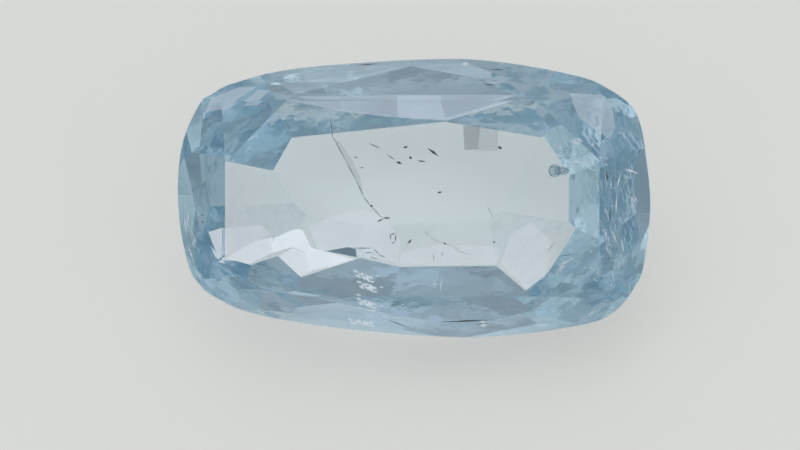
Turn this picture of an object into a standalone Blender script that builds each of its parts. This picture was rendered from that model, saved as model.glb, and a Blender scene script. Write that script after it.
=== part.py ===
"""A pale blue sapphire, cut as a long cushion, lying on one of its flat lower facets.

The stone is cut the way a lapidary cuts it: a blank with the outline of the girdle, then one flat cut
for each facet. It is worked in millimetres in its own frame, where X runs along the stone, Y across it
and Z up through the table, with the girdle at Z = 0. The finished stone is then leaned over until the
facet that it rests on is flat, and written in metres.
"""

import math

import bmesh
import bpy
from mathutils import Matrix, Vector

MM = 0.001

# Driving dimensions, in millimetres and degrees.
GIRDLE_HALF_THICKNESS = 0.06
TABLE_HEIGHT = 0.88
KEEL_DEPTH = 3.07
REST_ANGLE = 27.5
BLANK_MARGIN = 1.0
ARC_STEPS = 8
PLANE_TOLERANCE = 1e-5
MERGE_DISTANCE = 0.004

# The outline of the girdle, seen from above: points that a smooth closed curve passes through.
GIRDLE_OUTLINE = [
    (0.48, 4.16), (2.58, 4.08), (4.98, 3.64), (5.88, 3.24), (6.46, 2.82), (6.74, 2.35),
    (6.93, 1.45), (7.08, -0.20), (6.90, -1.92), (6.64, -2.62), (6.00, -3.40), (4.98, -3.81),
    (1.98, -4.16), (-1.62, -3.97), (-4.62, -3.51), (-5.90, -3.00), (-6.44, -2.58), (-6.75, -2.05),
    (-7.02, -0.80), (-7.08, 0.60), (-6.90, 1.80), (-6.42, 2.84), (-6.06, 3.12), (-5.37, 3.46),
    (-3.42, 3.90),
]

# The eight corners of the table, clockwise, each with the heading of the crown main that rises to it
# and the slope of the star facet on the table edge that starts there.
TABLE_CORNERS = [
    ((-3.78, 2.94), 108.0, 22.0),
    ((3.63, 2.90), 74.0, 18.0),
    ((5.52, 1.14), 26.0, 18.0),
    ((5.52, -1.41), -22.0, 18.0),
    ((3.93, -2.94), -72.0, 22.0),
    ((-4.86, -2.91), -106.0, 22.0),
    ((-5.64, -1.95), 204.0, 18.0),
    ((-5.64, 1.05), 158.0, 18.0),
]
UPPER_GIRDLE_SLOPE = 44.0
UPPER_GIRDLE_HEADINGS = [
    98, 84, 64, 42, 15, 4, -8, -38, -58, -82, -97, -116, -135, 216, 188, 174, 168, 142, 130, 118,
]

# The shallow facets round the keel, which make the clear window: the rise of each along X and along Y,
# and the place where it meets the facets before it. The stone rests on the first.
KEEL_PLACE = (0.0, -0.72)
WINDOW_FACETS = [
    ((-0.209, -0.518), (-1.62, -1.80)),
    ((-0.569, -0.266), (-4.11, -1.74)),
    ((-0.045, 0.340), KEEL_PLACE),
    ((-0.580, 0.000), (-4.26, 0.84)),
    ((0.500, 0.040), (3.00, 0.30)),
    ((0.418, -0.450), (2.49, -2.04)),
]

# The steeper breaks round the window: the two ends of the edge where each leaves the facets before it,
# and its slope.
BREAK_FACETS = [
    ((-4.26, 0.84), (-3.69, 1.83), 36.8),
    ((-3.69, 1.83), (0.93, 2.31), 38.6),
    ((0.93, 2.31), (3.93, 1.89), 38.6),
    ((-3.60, 2.85), (0.93, 2.31), 46.2),
    ((3.93, 1.89), (4.68, 0.69), 37.6),
    ((4.68, 0.69), (4.89, -0.90), 38.8),
    ((4.89, -0.90), (4.05, -2.22), 36.2),
    ((4.05, -2.22), (3.39, -2.76), 37.0),
    ((2.49, -2.04), (-0.42, -2.07), 43.0),
    ((-0.42, -2.07), (-1.62, -1.80), 42.1),
    ((-3.42, -2.37), (-4.11, -1.74), 40.2),
    ((-4.92, -2.01), (-5.64, -1.80), 44.0),
    ((-6.05, -0.90), (-6.05, 0.90), 48.0),
]

# The facets under the girdle: heading and slope of each.
LOWER_GIRDLE_FACETS = [
    (97, 52), (84, 52), (70, 50), (52, 48), (34, 46), (18, 48), (4, 48), (-10, 48), (-30, 48), (-52, 50),
    (-70, 54), (-83, 56), (-97, 56), (-108, 54), (-124, 52), (-146, 52), (196, 58), (180, 60), (168, 56),
    (150, 48), (130, 44), (112, 50),
]


def smooth_outline(points, steps):
    """Points of a closed Catmull-Rom curve through the given points."""
    curve = []
    count = len(points)
    for i in range(count):
        before, start, end, after = (Vector(points[(i + k) % count]) for k in (-1, 0, 1, 2))
        for step in range(steps):
            t = step / steps
            curve.append(
                0.5 * (2 * start + (end - before) * t
                       + (2 * before - 5 * start + 4 * end - after) * t ** 2
                       + (3 * start - before - 3 * end + after) * t ** 3)
            )
    return curve


def heading_vector(heading):
    """The unit vector that points along a heading, counted in degrees from the stone's +X towards +Y."""
    angle = math.radians(heading)
    return Vector((math.cos(angle), math.sin(angle)))


def outermost(outline, heading):
    """The point of the outline that lies furthest along a heading."""
    way = heading_vector(heading)
    return max(outline, key=lambda point: point.dot(way))


def blank(outline):
    """A block with the outline of the girdle, tall enough for every cut."""
    work = bmesh.new()
    bottom = -KEEL_DEPTH - BLANK_MARGIN
    face = work.faces.new([work.verts.new((x, y, bottom)) for x, y in outline])
    grown = bmesh.ops.extrude_face_region(work, geom=[face])
    top = [item for item in grown["geom"] if isinstance(item, bmesh.types.BMVert)]
    bmesh.ops.translate(work, vec=(0, 0, TABLE_HEIGHT - bottom), verts=top)
    bmesh.ops.recalc_face_normals(work, faces=work.faces)
    return work


def cut(work, point, normal):
    """Grinds away what lies beyond a plane, and closes the stone with one flat facet there."""
    geometry = work.verts[:] + work.edges[:] + work.faces[:]
    bmesh.ops.bisect_plane(
        work, geom=geometry, dist=PLANE_TOLERANCE, plane_co=point, plane_no=normal, clear_outer=True
    )
    rim = [edge for edge in work.edges if edge.is_boundary]
    if rim:
        bmesh.ops.holes_fill(work, edges=rim, sides=0)


def cut_slope(work, heading, slope, point, side):
    """One facet by its heading, slope from the girdle plane and a point on it. Side is 1 above, -1 below."""
    level = heading_vector(heading)
    tilt = math.radians(slope)
    normal = Vector((level.x * math.sin(tilt), level.y * math.sin(tilt), side * math.cos(tilt)))
    cut(work, Vector(point), normal)


def crown(work, outline):
    """The crown: mains at the corners of the table, stars on its edges, and the upper girdle facets."""
    for corner, heading, _ in TABLE_CORNERS:
        run = heading_vector(heading).dot(outermost(outline, heading) - Vector(corner))
        slope = math.degrees(math.atan2(TABLE_HEIGHT - GIRDLE_HALF_THICKNESS, run))
        cut_slope(work, heading, slope, (*corner, TABLE_HEIGHT), 1)
    for i, (corner, _, slope) in enumerate(TABLE_CORNERS):
        edge = Vector(TABLE_CORNERS[(i + 1) % len(TABLE_CORNERS)][0]) - Vector(corner)
        heading = math.degrees(math.atan2(edge.x, -edge.y))
        cut_slope(work, heading, slope, (*corner, TABLE_HEIGHT), 1)
    for heading in UPPER_GIRDLE_HEADINGS:
        edge = outermost(outline, heading)
        cut_slope(work, heading, UPPER_GIRDLE_SLOPE, (edge.x, edge.y, GIRDLE_HALF_THICKNESS), 1)


def facet_height(facet, place):
    """How high a pavilion facet, given by its rise along X, its rise along Y and its base, is at a place."""
    rise_x, rise_y, base = facet
    return base + rise_x * place[0] + rise_y * place[1]


def surface(facets, place):
    """The height of the underside of the stone at a place, as cut so far."""
    return max(facet_height(facet, place) for facet in facets)


def facet_through(rise, place, height):
    """The facet with a rise along X and Y that passes through a place at a height."""
    return (rise[0], rise[1], height - rise[0] * place[0] - rise[1] * place[1])


def facet_from_edge(facets, start, end, slope):
    """The facet that leaves the underside along an edge and climbs outwards at a slope."""
    span = Vector(end) - Vector(start)
    along = span.normalized()
    outward = Vector((-along.y, along.x))
    if outward.dot(Vector(start) + Vector(end)) < 0:
        outward = -outward
    height = surface(facets, start)
    climb = (surface(facets, end) - height) / span.length
    steepest = math.tan(math.radians(slope))
    rise = along * climb + outward * math.sqrt(steepest ** 2 - climb ** 2)
    return facet_through(rise, start, height)


def pavilion(work, outline):
    """The pavilion: the shallow window facets, the breaks round them, and the facets under the girdle."""
    resting = (0.0, -math.tan(math.radians(REST_ANGLE)))
    facets = [facet_through(resting, KEEL_PLACE, -KEEL_DEPTH)]
    for rise, place in WINDOW_FACETS:
        facets.append(facet_through(rise, place, surface(facets, place)))
    for start, end, slope in BREAK_FACETS:
        facets.append(facet_from_edge(facets, start, end, slope))
    for rise_x, rise_y, base in facets:
        cut(work, Vector((0, 0, base)), Vector((rise_x, rise_y, -1)).normalized())
    for heading, slope in LOWER_GIRDLE_FACETS:
        edge = outermost(outline, heading)
        cut_slope(work, heading, slope, (edge.x, edge.y, -GIRDLE_HALF_THICKNESS), -1)


def material():
    """Pale blue, clear and polished."""
    made = bpy.data.materials.new("sapphire")
    made.use_nodes = True
    shader = made.node_tree.nodes["Principled BSDF"]
    shader.inputs["Base Color"].default_value = (0.62, 0.76, 0.88, 1)
    shader.inputs["Roughness"].default_value = 0.02
    shader.inputs["IOR"].default_value = 1.77
    shader.inputs["Transmission Weight"].default_value = 1.0
    return made


def sapphire():
    """The whole stone as one object, leaned over onto its resting facet and centred over the origin."""
    outline = smooth_outline(GIRDLE_OUTLINE, ARC_STEPS)
    work = blank(outline)
    crown(work, outline)
    pavilion(work, outline)
    bmesh.ops.remove_doubles(work, verts=work.verts, dist=MERGE_DISTANCE)
    bmesh.ops.transform(work, matrix=Matrix.Rotation(math.radians(REST_ANGLE), 4, "X"), verts=work.verts)
    low = Vector(min(v.co[k] for v in work.verts) for k in range(3))
    high = Vector(max(v.co[k] for v in work.verts) for k in range(3))
    base = Vector(((low.x + high.x) / 2, (low.y + high.y) / 2, low.z))
    bmesh.ops.translate(work, vec=-base, verts=work.verts)
    bmesh.ops.scale(work, vec=(MM, MM, MM), verts=work.verts)
    bmesh.ops.recalc_face_normals(work, faces=work.faces)
    mesh = bpy.data.meshes.new("sapphire")
    work.to_mesh(mesh)
    work.free()
    mesh.materials.append(material())
    stone = bpy.data.objects.new("sapphire", mesh)
    bpy.context.scene.collection.objects.link(stone)
    return stone


def main():
    for old in list(bpy.data.objects):
        bpy.data.objects.remove(old)
    sapphire()


main()
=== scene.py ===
"""A cut pale blue sapphire lying on a plain pale surface, with the marks that are inside the stone."""
import math

import bmesh
import bpy
from mathutils import Matrix, Vector


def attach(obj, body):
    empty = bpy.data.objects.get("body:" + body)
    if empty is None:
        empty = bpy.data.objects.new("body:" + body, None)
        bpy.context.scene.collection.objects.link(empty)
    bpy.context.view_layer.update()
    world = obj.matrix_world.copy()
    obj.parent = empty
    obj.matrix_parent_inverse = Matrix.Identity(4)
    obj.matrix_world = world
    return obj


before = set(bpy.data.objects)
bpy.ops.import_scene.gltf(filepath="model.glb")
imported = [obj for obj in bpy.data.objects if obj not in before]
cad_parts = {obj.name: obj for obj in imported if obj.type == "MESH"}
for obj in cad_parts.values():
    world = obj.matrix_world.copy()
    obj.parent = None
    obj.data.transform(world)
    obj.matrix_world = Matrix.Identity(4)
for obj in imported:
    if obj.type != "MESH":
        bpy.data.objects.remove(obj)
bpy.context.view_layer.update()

MM = 0.001

# How the stone lies, as its source has it: worked in millimetres in its own frame, then leaned about X.
REST_ANGLE = math.radians(27.5)
TABLE_HEIGHT = 0.88

# The photograph's frame, the pixel that shows the middle of the girdle, and the size of a pixel there.
PHOTO_WIDTH = 800
PHOTO_HEIGHT = 450
GIRDLE_MIDDLE = (414.0, 198.0)
PIXEL = 0.03

# The camera, in metres, with its sensor in millimetres.
CAMERA_DISTANCE = 0.14
NEAREST_VIEW = 0.001
SENSOR_WIDTH = 36.0

# The floor, with its own soft glow and an oval painted pool of light under the stone, in metres.
FLOOR_SIZE = 4
FLOOR_GAP = 0.00003
FLOOR_COLOUR = (0.96, 0.95, 0.90, 1)
FLOOR_ROUGHNESS = 0.9
FLOOR_SHINE = 0.2
FLOOR_GLOW_COLOUR = (1.08, 1.02, 0.94, 1)
FLOOR_GLOW = 0.24
PAINTED_POOL_GLOW = 0.42
PAINTED_POOL_MIDDLE = Vector((0.0002, -0.0004, 0.0))
PAINTED_POOL_SHAPE = Vector((0.55, 1.0, 1.0))
PAINTED_POOL_EDGE = (0.0012, 0.0034)

# The stone: what it takes from the light on its way, and how well each part of it is polished. A finish
# fades into the next one between an edge and its fade, which are heights over the girdle in metres.
SURFACE_TINT = (0.95, 0.97, 1.0, 1)
SAPPHIRE_IOR = 1.77
DEEP_COLOUR = (0.50, 0.745, 0.84, 1)
COLOUR_DENSITY = 90.0
GIRDLE_EDGE = 0.065 * MM
GIRDLE_FADE = 1.1 * GIRDLE_EDGE
TABLE_EDGE = TABLE_HEIGHT * MM
TABLE_FADE = 0.99 * TABLE_EDGE
GIRDLE_ROUGHNESS = 0.45
CROWN_ROUGHNESS = 0.03
UNDERSIDE_ROUGHNESS = 0.07
WAVES_PER_METRE = 1600.0
WAVE_DETAIL = 2.0
WAVE_HEIGHT = 0.000012

# The marks inside the stone. Each is given by the pixels that show it, with sizes and heights over the
# girdle in millimetres, and the grain of its colour in metres.
NEEDLE_SIDES = 6
THREAD_OVERLAP = 0.3
DARK_COLOURS = ((0.09, 0.10, 0.12), (0.22, 0.25, 0.27))
SLIVER_COLOURS = ((0.08, 0.11, 0.13), (0.20, 0.25, 0.28))
DARK_GRAIN = 0.0004
DARK_ROUGHNESS = 0.6
PALE_COLOURS = ((0.62, 0.72, 0.78), (0.95, 0.98, 1.0))
PALE_GRAIN = 0.0002
PALE_ROUGHNESS = 0.35
# The pale marks get a painted glow, which stands in for the light they reflect.
PAINTED_PALE_GLOW = 0.40

# The curved fracture across the window, and its fainter tail.
FRACTURE = [(331, 120), (333, 137), (346, 161), (356, 180), (364, 197), (371, 206), (382, 218)]
FRACTURE_TAIL = [(423, 230), (430, 237), (439, 242), (453, 246), (460, 252), (469, 254)]
FRACTURE_THICKNESS = 0.013
TAIL_THICKNESS = 0.007
FRACTURE_DEPTH = 0.45

# The needles in the window: the two ends of each, and its radius.
NEEDLES = [
    ((368, 143), (381, 149), 0.018), ((386, 154), (396, 161), 0.018), ((396, 162), (402, 164), 0.045),
    ((403, 148), (408, 147), 0.040), ((409, 157), (412, 159), 0.045), ((417, 161), (426, 162), 0.028),
    ((427, 148), (439, 157), 0.045), ((497, 147), (502, 149), 0.050), ((437, 193), (442, 192), 0.035),
    ((377, 222), (383, 219), 0.030), ((382, 218), (391, 218), 0.034), ((370, 205), (373, 207), 0.040),
    ((407, 244), (412, 239), 0.035), ((486, 204), (493, 218), 0.010), ((492, 242), (495, 242), 0.030),
    ((443, 243), (446, 244), 0.035), ((354, 157), (358, 158), 0.020), ((360, 168), (364, 168), 0.020),
    ((433, 253), (434, 262), 0.010), ((442, 251), (442, 257), 0.012), ((389, 235), (396, 233), 0.018),
    ((390, 234), (391, 240), 0.018), ((396, 233), (395, 243), 0.018), ((391, 242), (395, 243), 0.015),
    ((352, 248), (374, 248), 0.016), ((373, 248), (380, 255), 0.016), ((379, 254), (386, 258), 0.014),
    ((364, 253), (374, 252), 0.012), ((370, 257), (379, 259), 0.012),
]
NEEDLE_DEPTH = 0.50

# The clear crystals that are caught in the stone: the middle of each, and its three half widths.
CRYSTALS = [((554, 171), (0.19, 0.20, 0.14)), ((561, 171), (0.22, 0.13, 0.10))]
CRYSTAL_DEPTH = 0.40
CRYSTAL_SUBDIVISIONS = 3
CRYSTAL_COLOUR = (0.62, 0.70, 0.74, 1)
CRYSTAL_ROUGHNESS = 0.05
CRYSTAL_IOR = 1.54

# The dark and the pale marks in the ring round the window, which are just over the girdle. Two of the pale
# streaks are painted glints.
EDGE_DEPTH = 0.02
RIM_DOTS = [(206, 215), (206, 222)]
RIM_DOT_REACH = 1
RIM_DOT_SIZE = 0.035
DARK_SLIVERS = [
    ((438, 319), (495, 316), 0.030), ((355, 68), (381, 67), 0.025), ((489, 73), (506, 74), 0.025),
    ((483, 88), (498, 90), 0.020), ((606, 206), (606, 224), 0.025), ((602, 172), (603, 182), 0.035),
    ((380, 310), (417, 327), 0.015), ((541, 258), (557, 240), 0.010), ((555, 257), (577, 253), 0.012),
]
PALE_STREAKS_AND_GLINTS = [
    ((571, 141), (580, 145), 0.055), ((559, 146), (562, 149), 0.040), ((588, 147), (591, 149), 0.045),
    ((551, 153), (565, 158), 0.025), ((571, 161), (581, 163), 0.040), ((580, 163), (597, 173), 0.020),
    ((620, 171), (633, 174), 0.045), ((617, 173), (613, 190), 0.028), ((607, 180), (607, 190), 0.025),
    ((613, 193), (612, 216), 0.025), ((600, 228), (603, 240), 0.025), ((606, 228), (612, 242), 0.030),
    ((617, 237), (620, 252), 0.030), ((625, 195), (633, 203), 0.018), ((557, 266), (573, 258), 0.025),
    # The last two marks on the next line are painted glints, not silk.
    ((587, 313), (596, 307), 0.022), ((461, 68), (469, 67), 0.095), ((478, 320), (487, 318), 0.070),
    ((187, 212), (189, 236), 0.020), ((190, 244), (196, 262), 0.022), ((198, 268), (204, 280), 0.022),
    ((375, 276), (380, 276), 0.030), ((379, 287), (384, 287), 0.030), ((379, 301), (384, 302), 0.030),
    ((194, 206), (191, 226), 0.014), ((442, 275), (440, 293), 0.025), ((434, 281), (435, 287), 0.030),
]

# The crumpled feathers: the two ends of the line of each, and its height. The spines are scattered about
# that line, with their slants in degrees.
FEATHERS = [
    ((355, 273), (373, 280), 0.45), ((359, 284), (376, 290), 0.40), ((358, 297), (375, 303), 0.20),
    ((350, 317), (374, 321), -0.02), ((360, 252), (381, 259), 0.45),
]
FEATHER_SPINES = 20
FEATHER_WIDTH = 0.16
FEATHER_SPINE = 0.10
FEATHER_THICKNESS = 0.040
FEATHER_SLANT = -22.0
FEATHER_SPREAD = 36.0

# The patches of silk: two corners, then how many streaks, their slant in degrees, length and radius.
SILK = [
    ((594, 168), (630, 288), 30, 84.0, 0.30, 0.011), ((188, 206), (203, 276), 14, 72.0, 0.22, 0.010),
    ((560, 240), (606, 300), 12, 40.0, 0.24, 0.010), ((250, 296), (420, 324), 10, -12.0, 0.22, 0.010),
    ((556, 138), (604, 166), 8, -28.0, 0.16, 0.012),
]
SILK_SPREAD = 26.0

# What scatters the spines and the streaks, the same way in every run.
SCATTER = 4375.8
SCATTER_STEPS = (12.9, 78.2)

# The flat panes: the name of each, its colour, cover, glow and height, and its outlines, of which each one
# lies a step over the one before it. The pale glowing panes are painted light, reflections and sheen; the
# grey pane and the second outline of the veil pane are painted shade, and the veil's first outline follows
# the fracture.
PANE_THICKNESS = 0.01
PANE_STEP = 0.02
PANE_DARKER = 0.88
PANE_GRAIN = 0.0008
PANE_ROUGHNESS = 0.4
FILMS_AND_PAINTED_PANES = [
    # Painted reflections: the white patches in the window.
    ("bright_painted_reflection", (0.95, 0.98, 1.0), 0.88, 0.48, 0.30, [
        [(272, 245), (275, 238), (295, 229), (303, 230), (312, 248), (305, 252), (293, 247), (275, 252)],
        [(305, 252), (312, 248), (355, 259), (332, 266), (312, 270)],
    ]),
    # Painted light that brightens the lower left of the window.
    ("pale_painted_light", (0.93, 0.95, 0.98), 0.45, 0.50, 0.25, [
        [(223, 260), (240, 250), (256, 241), (273, 237), (275, 252), (249, 264), (240, 261)],
        [(279, 256), (293, 248), (305, 253), (312, 271), (300, 276)],
        [(211, 232), (225, 228), (225, 258), (220, 255)],
    ]),
    # Painted light that brightens the lower part of the window.
    ("soft_painted_light", (0.93, 0.95, 1.0), 0.20, 0.50, 0.20, [
        [(225, 228), (262, 225), (271, 234), (256, 241), (240, 250), (225, 256)],
        [(309, 226), (330, 217), (362, 209), (384, 216), (400, 240), (398, 262), (358, 256), (318, 250)],
        [(500, 263), (510, 237), (530, 222), (550, 240), (545, 276), (527, 289)],
        [(400, 252), (440, 244), (500, 247), (497, 264), (400, 264)],
    ]),
    # Painted shade: a darker facet reflection at the top of the window.
    ("grey_painted_reflection", (0.50, 0.60, 0.66), 0.28, 0.0, 0.35, [
        [(463, 126), (480, 126), (478, 150), (464, 150)],
    ]),
    # The veil along the fracture, and beside the grey pane a second pane of painted shade.
    ("veil_and_painted_reflection", (0.58, 0.66, 0.72), 0.12, 0.0, 0.40, [
        [(333, 137), (341, 143), (352, 160), (360, 176), (364, 196), (356, 180), (346, 161)],
        [(480, 127), (498, 127), (497, 151), (478, 151)],
    ]),
    # Painted sheen: the crown's reflections along the top edge of the table.
    ("painted_crown_sheen", (0.86, 0.92, 1.0), 0.26, 0.36, -0.04, [
        [(296, 102), (400, 100), (516, 100), (446, 121), (386, 117), (340, 111)],
        [(397, 101), (440, 101), (446, 120), (398, 118)],
        [(446, 118), (508, 101), (516, 101), (447, 121)],
        [(568, 98), (600, 98), (610, 106), (612, 128), (606, 142), (576, 120)],
        [(207, 113), (212, 100), (240, 89), (258, 90), (232, 110)],
        [(246, 108), (260, 94), (272, 96), (260, 108)],
    ]),
    ("blue_film", (0.40, 0.62, 0.74), 0.75, 0.0, 0.28, [
        [(326, 251), (348, 247), (356, 249), (357, 257)],
    ]),
]

# The sky, as a share of full white: plain and nearly even, dimmer round the camera, brighter behind the
# stone. Spreads are in degrees from the middle of each.
SKY_COLOUR = (0.92, 0.99, 1.05, 1)
SKY_LIGHT = 0.475
SKY_CLOUDS = 2.5
SKY_CLOUD_RANGE = (0.3, 0.7)
SKY_UNEVENNESS = 0.18
CAMERA_SIDE_LIGHT = 0.39
CAMERA_SIDE_SPREAD = (30.0, 60.0)
BACK_LIGHT_SHARE = 1.5
BACK_LIGHT_WAY = (-0.15, 0.75, 0.70)
BACK_LIGHT_SPREAD = (10.0, 45.0)

LIGHT_BOUNCES = 40


def stone_origin():
    """Where the stone's own origin, the middle of its girdle, lies in the frame."""
    mesh = bpy.data.objects["sapphire"].data
    back = Matrix.Rotation(-REST_ANGLE, 3, "X")
    points = [back @ vertex.co for vertex in mesh.vertices]
    middle = [(min(p[k] for p in points) + max(p[k] for p in points)) / 2 for k in (0, 1)]
    top = max(p.z for p in points)
    return Vector((middle[0], middle[1], top - TABLE_HEIGHT * MM))


ORIGIN = stone_origin()
LEAN = Matrix.Rotation(REST_ANGLE, 4, "X")
STONE = LEAN @ Matrix.Translation(ORIGIN) @ Matrix.Scale(MM, 4)
STONE_UP = LEAN.to_3x3() @ Vector((0, 0, 1))


def place(pixel, depth):
    """A point of the stone's frame, in millimetres: the pixel that shows it, and its height."""
    return Vector(((pixel[0] - GIRDLE_MIDDLE[0]) * PIXEL, (GIRDLE_MIDDLE[1] - pixel[1]) * PIXEL, depth))


def shader_of(made):
    """The main shader of a material."""
    return made.node_tree.nodes["Principled BSDF"]


def new_material(name):
    """A plain material with a main shader."""
    made = bpy.data.materials.new(name)
    made.use_nodes = True
    return made


def stepped(nodes, links, value, start, end, low, high):
    """A value that changes smoothly from low to high while the given one goes from start to end."""
    change = nodes.new("ShaderNodeMapRange")
    change.interpolation_type = "SMOOTHSTEP"
    for socket, amount in (("From Min", start), ("From Max", end), ("To Min", low), ("To Max", high)):
        change.inputs[socket].default_value = amount
    links.new(value, change.inputs["Value"])
    return change.outputs["Result"]


def combined(nodes, links, operation, first, second):
    """The product, the larger one or the like of two values."""
    math_node = nodes.new("ShaderNodeMath")
    math_node.operation = operation
    links.new(first, math_node.inputs[0])
    links.new(second, math_node.inputs[1])
    return math_node.outputs["Value"]


def reach_along(nodes, links, vector, way):
    """How far a vector reaches along a way."""
    product = nodes.new("ShaderNodeVectorMath")
    product.operation = "DOT_PRODUCT"
    product.inputs[1].default_value = way
    links.new(vector, product.inputs[0])
    return product.outputs["Value"]


def surface_point(nodes):
    """The place of the point that is shaded, in its object's frame."""
    return nodes.new("ShaderNodeTexCoord").outputs["Object"]


def height_over_girdle(nodes, links):
    """How high a point of the surface lies over the middle of the girdle, in metres."""
    height = nodes.new("ShaderNodeMath")
    height.operation = "SUBTRACT"
    height.inputs[1].default_value = ORIGIN.z
    links.new(reach_along(nodes, links, surface_point(nodes), STONE_UP), height.inputs[0])
    return height.outputs["Value"]


def polish(nodes, links, height):
    """The roughness of the stone: polished above, a little uneven below, and ground at the girdle."""
    side = nodes.new("ShaderNodeMath")
    side.operation = "ABSOLUTE"
    links.new(height, side.inputs[0])
    away = side.outputs["Value"]
    ground = stepped(nodes, links, away, GIRDLE_EDGE, GIRDLE_FADE, GIRDLE_ROUGHNESS, 0.0)
    below = stepped(nodes, links, height, -GIRDLE_EDGE, -GIRDLE_FADE, 0.0, UNDERSIDE_ROUGHNESS)
    above = stepped(nodes, links, height, -GIRDLE_EDGE, GIRDLE_EDGE, 0.0, CROWN_ROUGHNESS)
    crown = stepped(nodes, links, height, TABLE_FADE, TABLE_EDGE, 1.0, 0.0)
    facets = combined(nodes, links, "MAXIMUM", below, combined(nodes, links, "MULTIPLY", above, crown))
    return combined(nodes, links, "MAXIMUM", ground, facets)


def underside_waves(nodes, links, height):
    """The direction of the surface, which is a little wavy below the girdle."""
    waves = nodes.new("ShaderNodeTexNoise")
    waves.inputs["Scale"].default_value = WAVES_PER_METRE
    waves.inputs["Detail"].default_value = WAVE_DETAIL
    links.new(surface_point(nodes), waves.inputs["Vector"])
    uneven = nodes.new("ShaderNodeBump")
    uneven.inputs["Distance"].default_value = WAVE_HEIGHT
    links.new(waves.outputs["Fac"], uneven.inputs["Height"])
    below = stepped(nodes, links, height, -GIRDLE_EDGE, -GIRDLE_FADE, 0.0, 1.0)
    links.new(below, uneven.inputs["Strength"])
    return uneven.outputs["Normal"]


def sapphire_material():
    """Clear pale blue sapphire, which takes its colour from the length of the way through it."""
    made = new_material("sapphire_clear")
    nodes, links = made.node_tree.nodes, made.node_tree.links
    shader = shader_of(made)
    shader.inputs["Base Color"].default_value = SURFACE_TINT
    shader.inputs["IOR"].default_value = SAPPHIRE_IOR
    shader.inputs["Transmission Weight"].default_value = 1.0
    height = height_over_girdle(nodes, links)
    links.new(polish(nodes, links, height), shader.inputs["Roughness"])
    links.new(underside_waves(nodes, links, height), shader.inputs["Normal"])
    volume = nodes.new("ShaderNodeVolumeAbsorption")
    volume.inputs["Color"].default_value = DEEP_COLOUR
    volume.inputs["Density"].default_value = COLOUR_DENSITY
    links.new(volume.outputs["Volume"], nodes["Material Output"].inputs["Volume"])
    return made


def mottled(name, dark, light, grain, roughness, glow=0.0):
    """A material that goes softly between two colours, with its grain in metres, and a painted glow in the
    same colours when glow is given.
    """
    made = new_material(name)
    nodes, links = made.node_tree.nodes, made.node_tree.links
    shader = shader_of(made)
    cloud = nodes.new("ShaderNodeTexNoise")
    cloud.inputs["Scale"].default_value = 1 / grain
    links.new(surface_point(nodes), cloud.inputs["Vector"])
    blend = nodes.new("ShaderNodeMix")
    blend.data_type = "RGBA"
    blend.inputs["A"].default_value = (*dark, 1)
    blend.inputs["B"].default_value = (*light, 1)
    links.new(cloud.outputs["Fac"], blend.inputs["Factor"])
    links.new(blend.outputs["Result"], shader.inputs["Base Color"])
    shader.inputs["Roughness"].default_value = roughness
    if glow:
        links.new(blend.outputs["Result"], shader.inputs["Emission Color"])
        shader.inputs["Emission Strength"].default_value = glow
    return made


def piece(name, work, material):
    """One finished piece of the scene from its working mesh, which is in the stone's frame."""
    bmesh.ops.transform(work, matrix=STONE, verts=work.verts)
    mesh = bpy.data.meshes.new(name)
    work.to_mesh(mesh)
    work.free()
    mesh.materials.append(material)
    made = bpy.data.objects.new(name, mesh)
    bpy.context.scene.collection.objects.link(made)
    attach(made, "root")


def spindle(work, start, end, radius):
    """A slim needle, thickest in its middle and pointed at both ends."""
    way = (end - start) / 2
    turn = way.to_track_quat("Z", "Y").to_matrix().to_4x4()
    for share, near, far in ((0.5, 0, radius), (1.5, radius, 0)):
        bmesh.ops.create_cone(
            work, segments=NEEDLE_SIDES, radius1=near, radius2=far, depth=way.length,
            matrix=Matrix.Translation(start + way * share) @ turn
        )


def thread(work, points, radius):
    """A thin line through points, made of needles that overlap."""
    for start, end in zip(points, points[1:]):
        reach = (end - start) * THREAD_OVERLAP
        spindle(work, start - reach, end + reach, radius)


def needles(marks, depth):
    """A working mesh with one needle for each mark."""
    work = bmesh.new()
    for start, end, radius in marks:
        spindle(work, place(start, depth), place(end, depth - radius), radius)
    return work


def plate(work, corners, thickness):
    """A flat flake with the given outline."""
    face = work.faces.new([work.verts.new(corner) for corner in corners])
    grown = bmesh.ops.extrude_face_region(work, geom=[face])
    moved = [item for item in grown["geom"] if isinstance(item, bmesh.types.BMVert)]
    bmesh.ops.translate(work, vec=(0, 0, thickness), verts=moved)
    bmesh.ops.recalc_face_normals(work, faces=work.faces)


def crystals():
    """The small rounded clear crystals that are caught in the stone."""
    work = bmesh.new()
    for pixel, size in CRYSTALS:
        shape = Matrix.Translation(place(pixel, CRYSTAL_DEPTH)) @ Matrix.Diagonal((*size, 1))
        bmesh.ops.create_icosphere(work, subdivisions=CRYSTAL_SUBDIVISIONS, radius=1, matrix=shape)
    for face in work.faces:
        face.smooth = True
    material = new_material("crystal")
    shader = shader_of(material)
    shader.inputs["Base Color"].default_value = CRYSTAL_COLOUR
    shader.inputs["Roughness"].default_value = CRYSTAL_ROUGHNESS
    shader.inputs["IOR"].default_value = CRYSTAL_IOR
    shader.inputs["Transmission Weight"].default_value = 1.0
    piece("crystals", work, material)


def slanted(work, middle, angle, half_length, radius):
    """A needle about a middle, turned by an angle in degrees from the long way of the stone."""
    turn = math.radians(angle)
    half = Vector((math.cos(turn), math.sin(turn), 0)) * half_length
    spindle(work, middle - half, middle + half, radius)


def spread(i):
    """Two shares between -0.5 and 0.5 that look scattered as i counts up, and are the same in every run."""
    return tuple((math.sin((i + 1) * step) * SCATTER) % 1 - 0.5 for step in SCATTER_STEPS)


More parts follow.
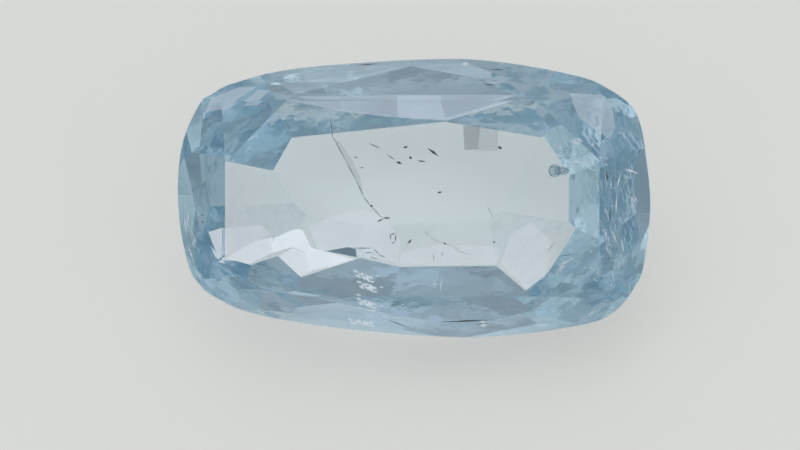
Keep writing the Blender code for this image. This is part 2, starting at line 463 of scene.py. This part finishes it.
def feather(work, start, end, depth):
    """A crumpled silvery fracture: short bright spines along one line, at scattered slants."""
    for i in range(FEATHER_SPINES):
        across, turn = spread(i)
        middle = place(start, depth).lerp(place(end, depth), (i + 0.5) / FEATHER_SPINES)
        middle.y += FEATHER_WIDTH * across
        slant = FEATHER_SLANT + FEATHER_SPREAD * turn
        half_length = FEATHER_SPINE * (0.5 + abs(across))
        slanted(work, middle, slant, half_length, FEATHER_THICKNESS)


def silk(work, low, high, count, slant, length, radius):
    """Fine pale streaks scattered over a box of pixels, all lying about one way."""
    for i in range(count):
        across, turn = spread(i)
        column = low[0] + (high[0] - low[0]) * (across + 0.5)
        row = low[1] + (high[1] - low[1]) * (i + 0.5) / count
        half_length = length * (0.5 + turn / 2)
        slanted(work, place((column, row), EDGE_DEPTH), -slant + SILK_SPREAD * turn, half_length, radius)


def dark_marks():
    """The needles and the fracture in the window, and the dark slivers near the edge."""
    work = needles(NEEDLES, NEEDLE_DEPTH)
    for line, radius in ((FRACTURE, FRACTURE_THICKNESS), (FRACTURE_TAIL, TAIL_THICKNESS)):
        thread(work, [place(pixel, FRACTURE_DEPTH) for pixel in line], radius)
    piece("dark_needles", work, mottled("dark_mark", *DARK_COLOURS, DARK_GRAIN, DARK_ROUGHNESS))
    edge = needles(DARK_SLIVERS, EDGE_DEPTH)
    for x, y in RIM_DOTS:
        start, end = (place((x + way * RIM_DOT_REACH, y), EDGE_DEPTH) for way in (-1, 1))
        spindle(edge, start, end, RIM_DOT_SIZE)
    piece("dark_slivers", edge, mottled("sliver", *SLIVER_COLOURS, DARK_GRAIN, DARK_ROUGHNESS))


def pale_marks():
    """The bright streaks round the edge, two of them painted glints, and the crumpled feathers under the
    near side, all with a painted glow.
    """
    work = needles(PALE_STREAKS_AND_GLINTS, EDGE_DEPTH)
    for start, end, depth in FEATHERS:
        feather(work, start, end, depth)
    for patch in SILK:
        silk(work, *patch)
    material = mottled("pale_mark", *PALE_COLOURS, PALE_GRAIN, PALE_ROUGHNESS, PAINTED_PALE_GLOW)
    piece("pale_streaks_and_glints", work, material)


def films_and_painted_panes():
    """Flat panes in the stone: the pale glowing ones paint light, reflections and sheen into the window and
    under the crown, the grey ones paint shade, and one follows the fracture.
    """
    for name, colour, cover, glow, depth, outlines in FILMS_AND_PAINTED_PANES:
        work = bmesh.new()
        for outline in outlines:
            plate(work, [place(pixel, depth) for pixel in outline], PANE_THICKNESS)
            depth += PANE_STEP
        darker = [share * PANE_DARKER for share in colour]
        material = mottled(name, darker, colour, PANE_GRAIN, PANE_ROUGHNESS, glow)
        shader_of(material).inputs["Alpha"].default_value = cover
        piece(name, work, material)


def camera():
    """A camera that looks straight down on the table of the stone, as the photograph does."""
    data = bpy.data.cameras.new("camera")
    data.sensor_width = SENSOR_WIDTH
    data.lens = SENSOR_WIDTH * CAMERA_DISTANCE / (PHOTO_WIDTH * PIXEL * MM)
    data.clip_start = NEAREST_VIEW
    made = bpy.data.objects.new("camera", data)
    bpy.context.scene.collection.objects.link(made)
    aim = STONE @ place((PHOTO_WIDTH / 2, PHOTO_HEIGHT / 2), 0)
    made.location = aim + STONE_UP * CAMERA_DISTANCE
    made.rotation_euler = STONE_UP.to_track_quat("Z", "Y").to_euler()
    bpy.context.scene.camera = made


def floor_material():
    """Pale and dull with a soft glow, and a little more glow painted as an oval pool of light under the
    stone.
    """
    material = new_material("floor")
    nodes, links = material.node_tree.nodes, material.node_tree.links
    shader = shader_of(material)
    shader.inputs["Base Color"].default_value = FLOOR_COLOUR
    shader.inputs["Roughness"].default_value = FLOOR_ROUGHNESS
    shader.inputs["Specular IOR Level"].default_value = FLOOR_SHINE
    shader.inputs["Emission Color"].default_value = FLOOR_GLOW_COLOUR
    # The painted pool of light: the glow rises in an oval under the stone.
    oval = nodes.new("ShaderNodeVectorMath")
    oval.operation = "MULTIPLY_ADD"
    oval.inputs[1].default_value = PAINTED_POOL_SHAPE
    oval.inputs[2].default_value = -PAINTED_POOL_MIDDLE * PAINTED_POOL_SHAPE
    links.new(surface_point(nodes), oval.inputs[0])
    away = nodes.new("ShaderNodeVectorMath")
    away.operation = "LENGTH"
    links.new(oval.outputs["Vector"], away.inputs[0])
    glow = stepped(nodes, links, away.outputs["Value"], *PAINTED_POOL_EDGE, PAINTED_POOL_GLOW, FLOOR_GLOW)
    links.new(glow, shader.inputs["Emission Strength"])
    return material


def floor():
    """The plain pale floor just under the stone."""
    bpy.ops.mesh.primitive_plane_add(size=FLOOR_SIZE, location=(0, 0, -FLOOR_GAP))
    made = bpy.context.object
    made.name = "floor"
    made.data.materials.append(floor_material())


def lobe(nodes, links, direction, way, spread, inside, outside):
    """A brightness that changes smoothly with the angle from a way, from inside to outside the spread."""
    facing = reach_along(nodes, links, direction, Vector(way).normalized())
    near, far = (math.cos(math.radians(angle)) for angle in spread)
    return stepped(nodes, links, facing, far, near, outside, inside)


def light():
    """A plain soft sky, a little uneven, dimmer round the camera and brighter behind the stone."""
    world = bpy.data.worlds.new("world")
    bpy.context.scene.world = world
    world.use_nodes = True
    nodes, links = world.node_tree.nodes, world.node_tree.links
    direction = nodes.new("ShaderNodeTexCoord").outputs["Generated"]
    cloud = nodes.new("ShaderNodeTexNoise")
    cloud.inputs["Scale"].default_value = SKY_CLOUDS
    cloud.inputs["Detail"].default_value = 0.0
    links.new(direction, cloud.inputs["Vector"])
    thin, thick = 1 - SKY_UNEVENNESS, 1 + SKY_UNEVENNESS
    uneven = stepped(nodes, links, cloud.outputs["Fac"], *SKY_CLOUD_RANGE, thin, thick)
    sky = lobe(nodes, links, direction, STONE_UP, CAMERA_SIDE_SPREAD, CAMERA_SIDE_LIGHT, SKY_LIGHT)
    behind = lobe(nodes, links, direction, BACK_LIGHT_WAY, BACK_LIGHT_SPREAD, BACK_LIGHT_SHARE, 1.0)
    clouded = combined(nodes, links, "MULTIPLY", sky, uneven)
    strength = combined(nodes, links, "MULTIPLY", clouded, behind)
    links.new(strength, nodes["Background"].inputs["Strength"])
    nodes["Background"].inputs["Color"].default_value = SKY_COLOUR


def quality():
    """Plain colours, and light that is followed far enough to leave the stone again."""
    scene = bpy.context.scene
    scene.view_settings.view_transform = "Standard"
    scene.cycles.max_bounces = LIGHT_BOUNCES
    scene.cycles.transmission_bounces = LIGHT_BOUNCES
    scene.cycles.glossy_bounces = LIGHT_BOUNCES


def main():
    """Dresses the stone, and sets it in its light."""
    stone = bpy.data.objects["sapphire"]
    stone.material_slots[0].material = sapphire_material()
    camera()
    floor()
    light()
    dark_marks()
    pale_marks()
    crystals()
    films_and_painted_panes()
    quality()


main()
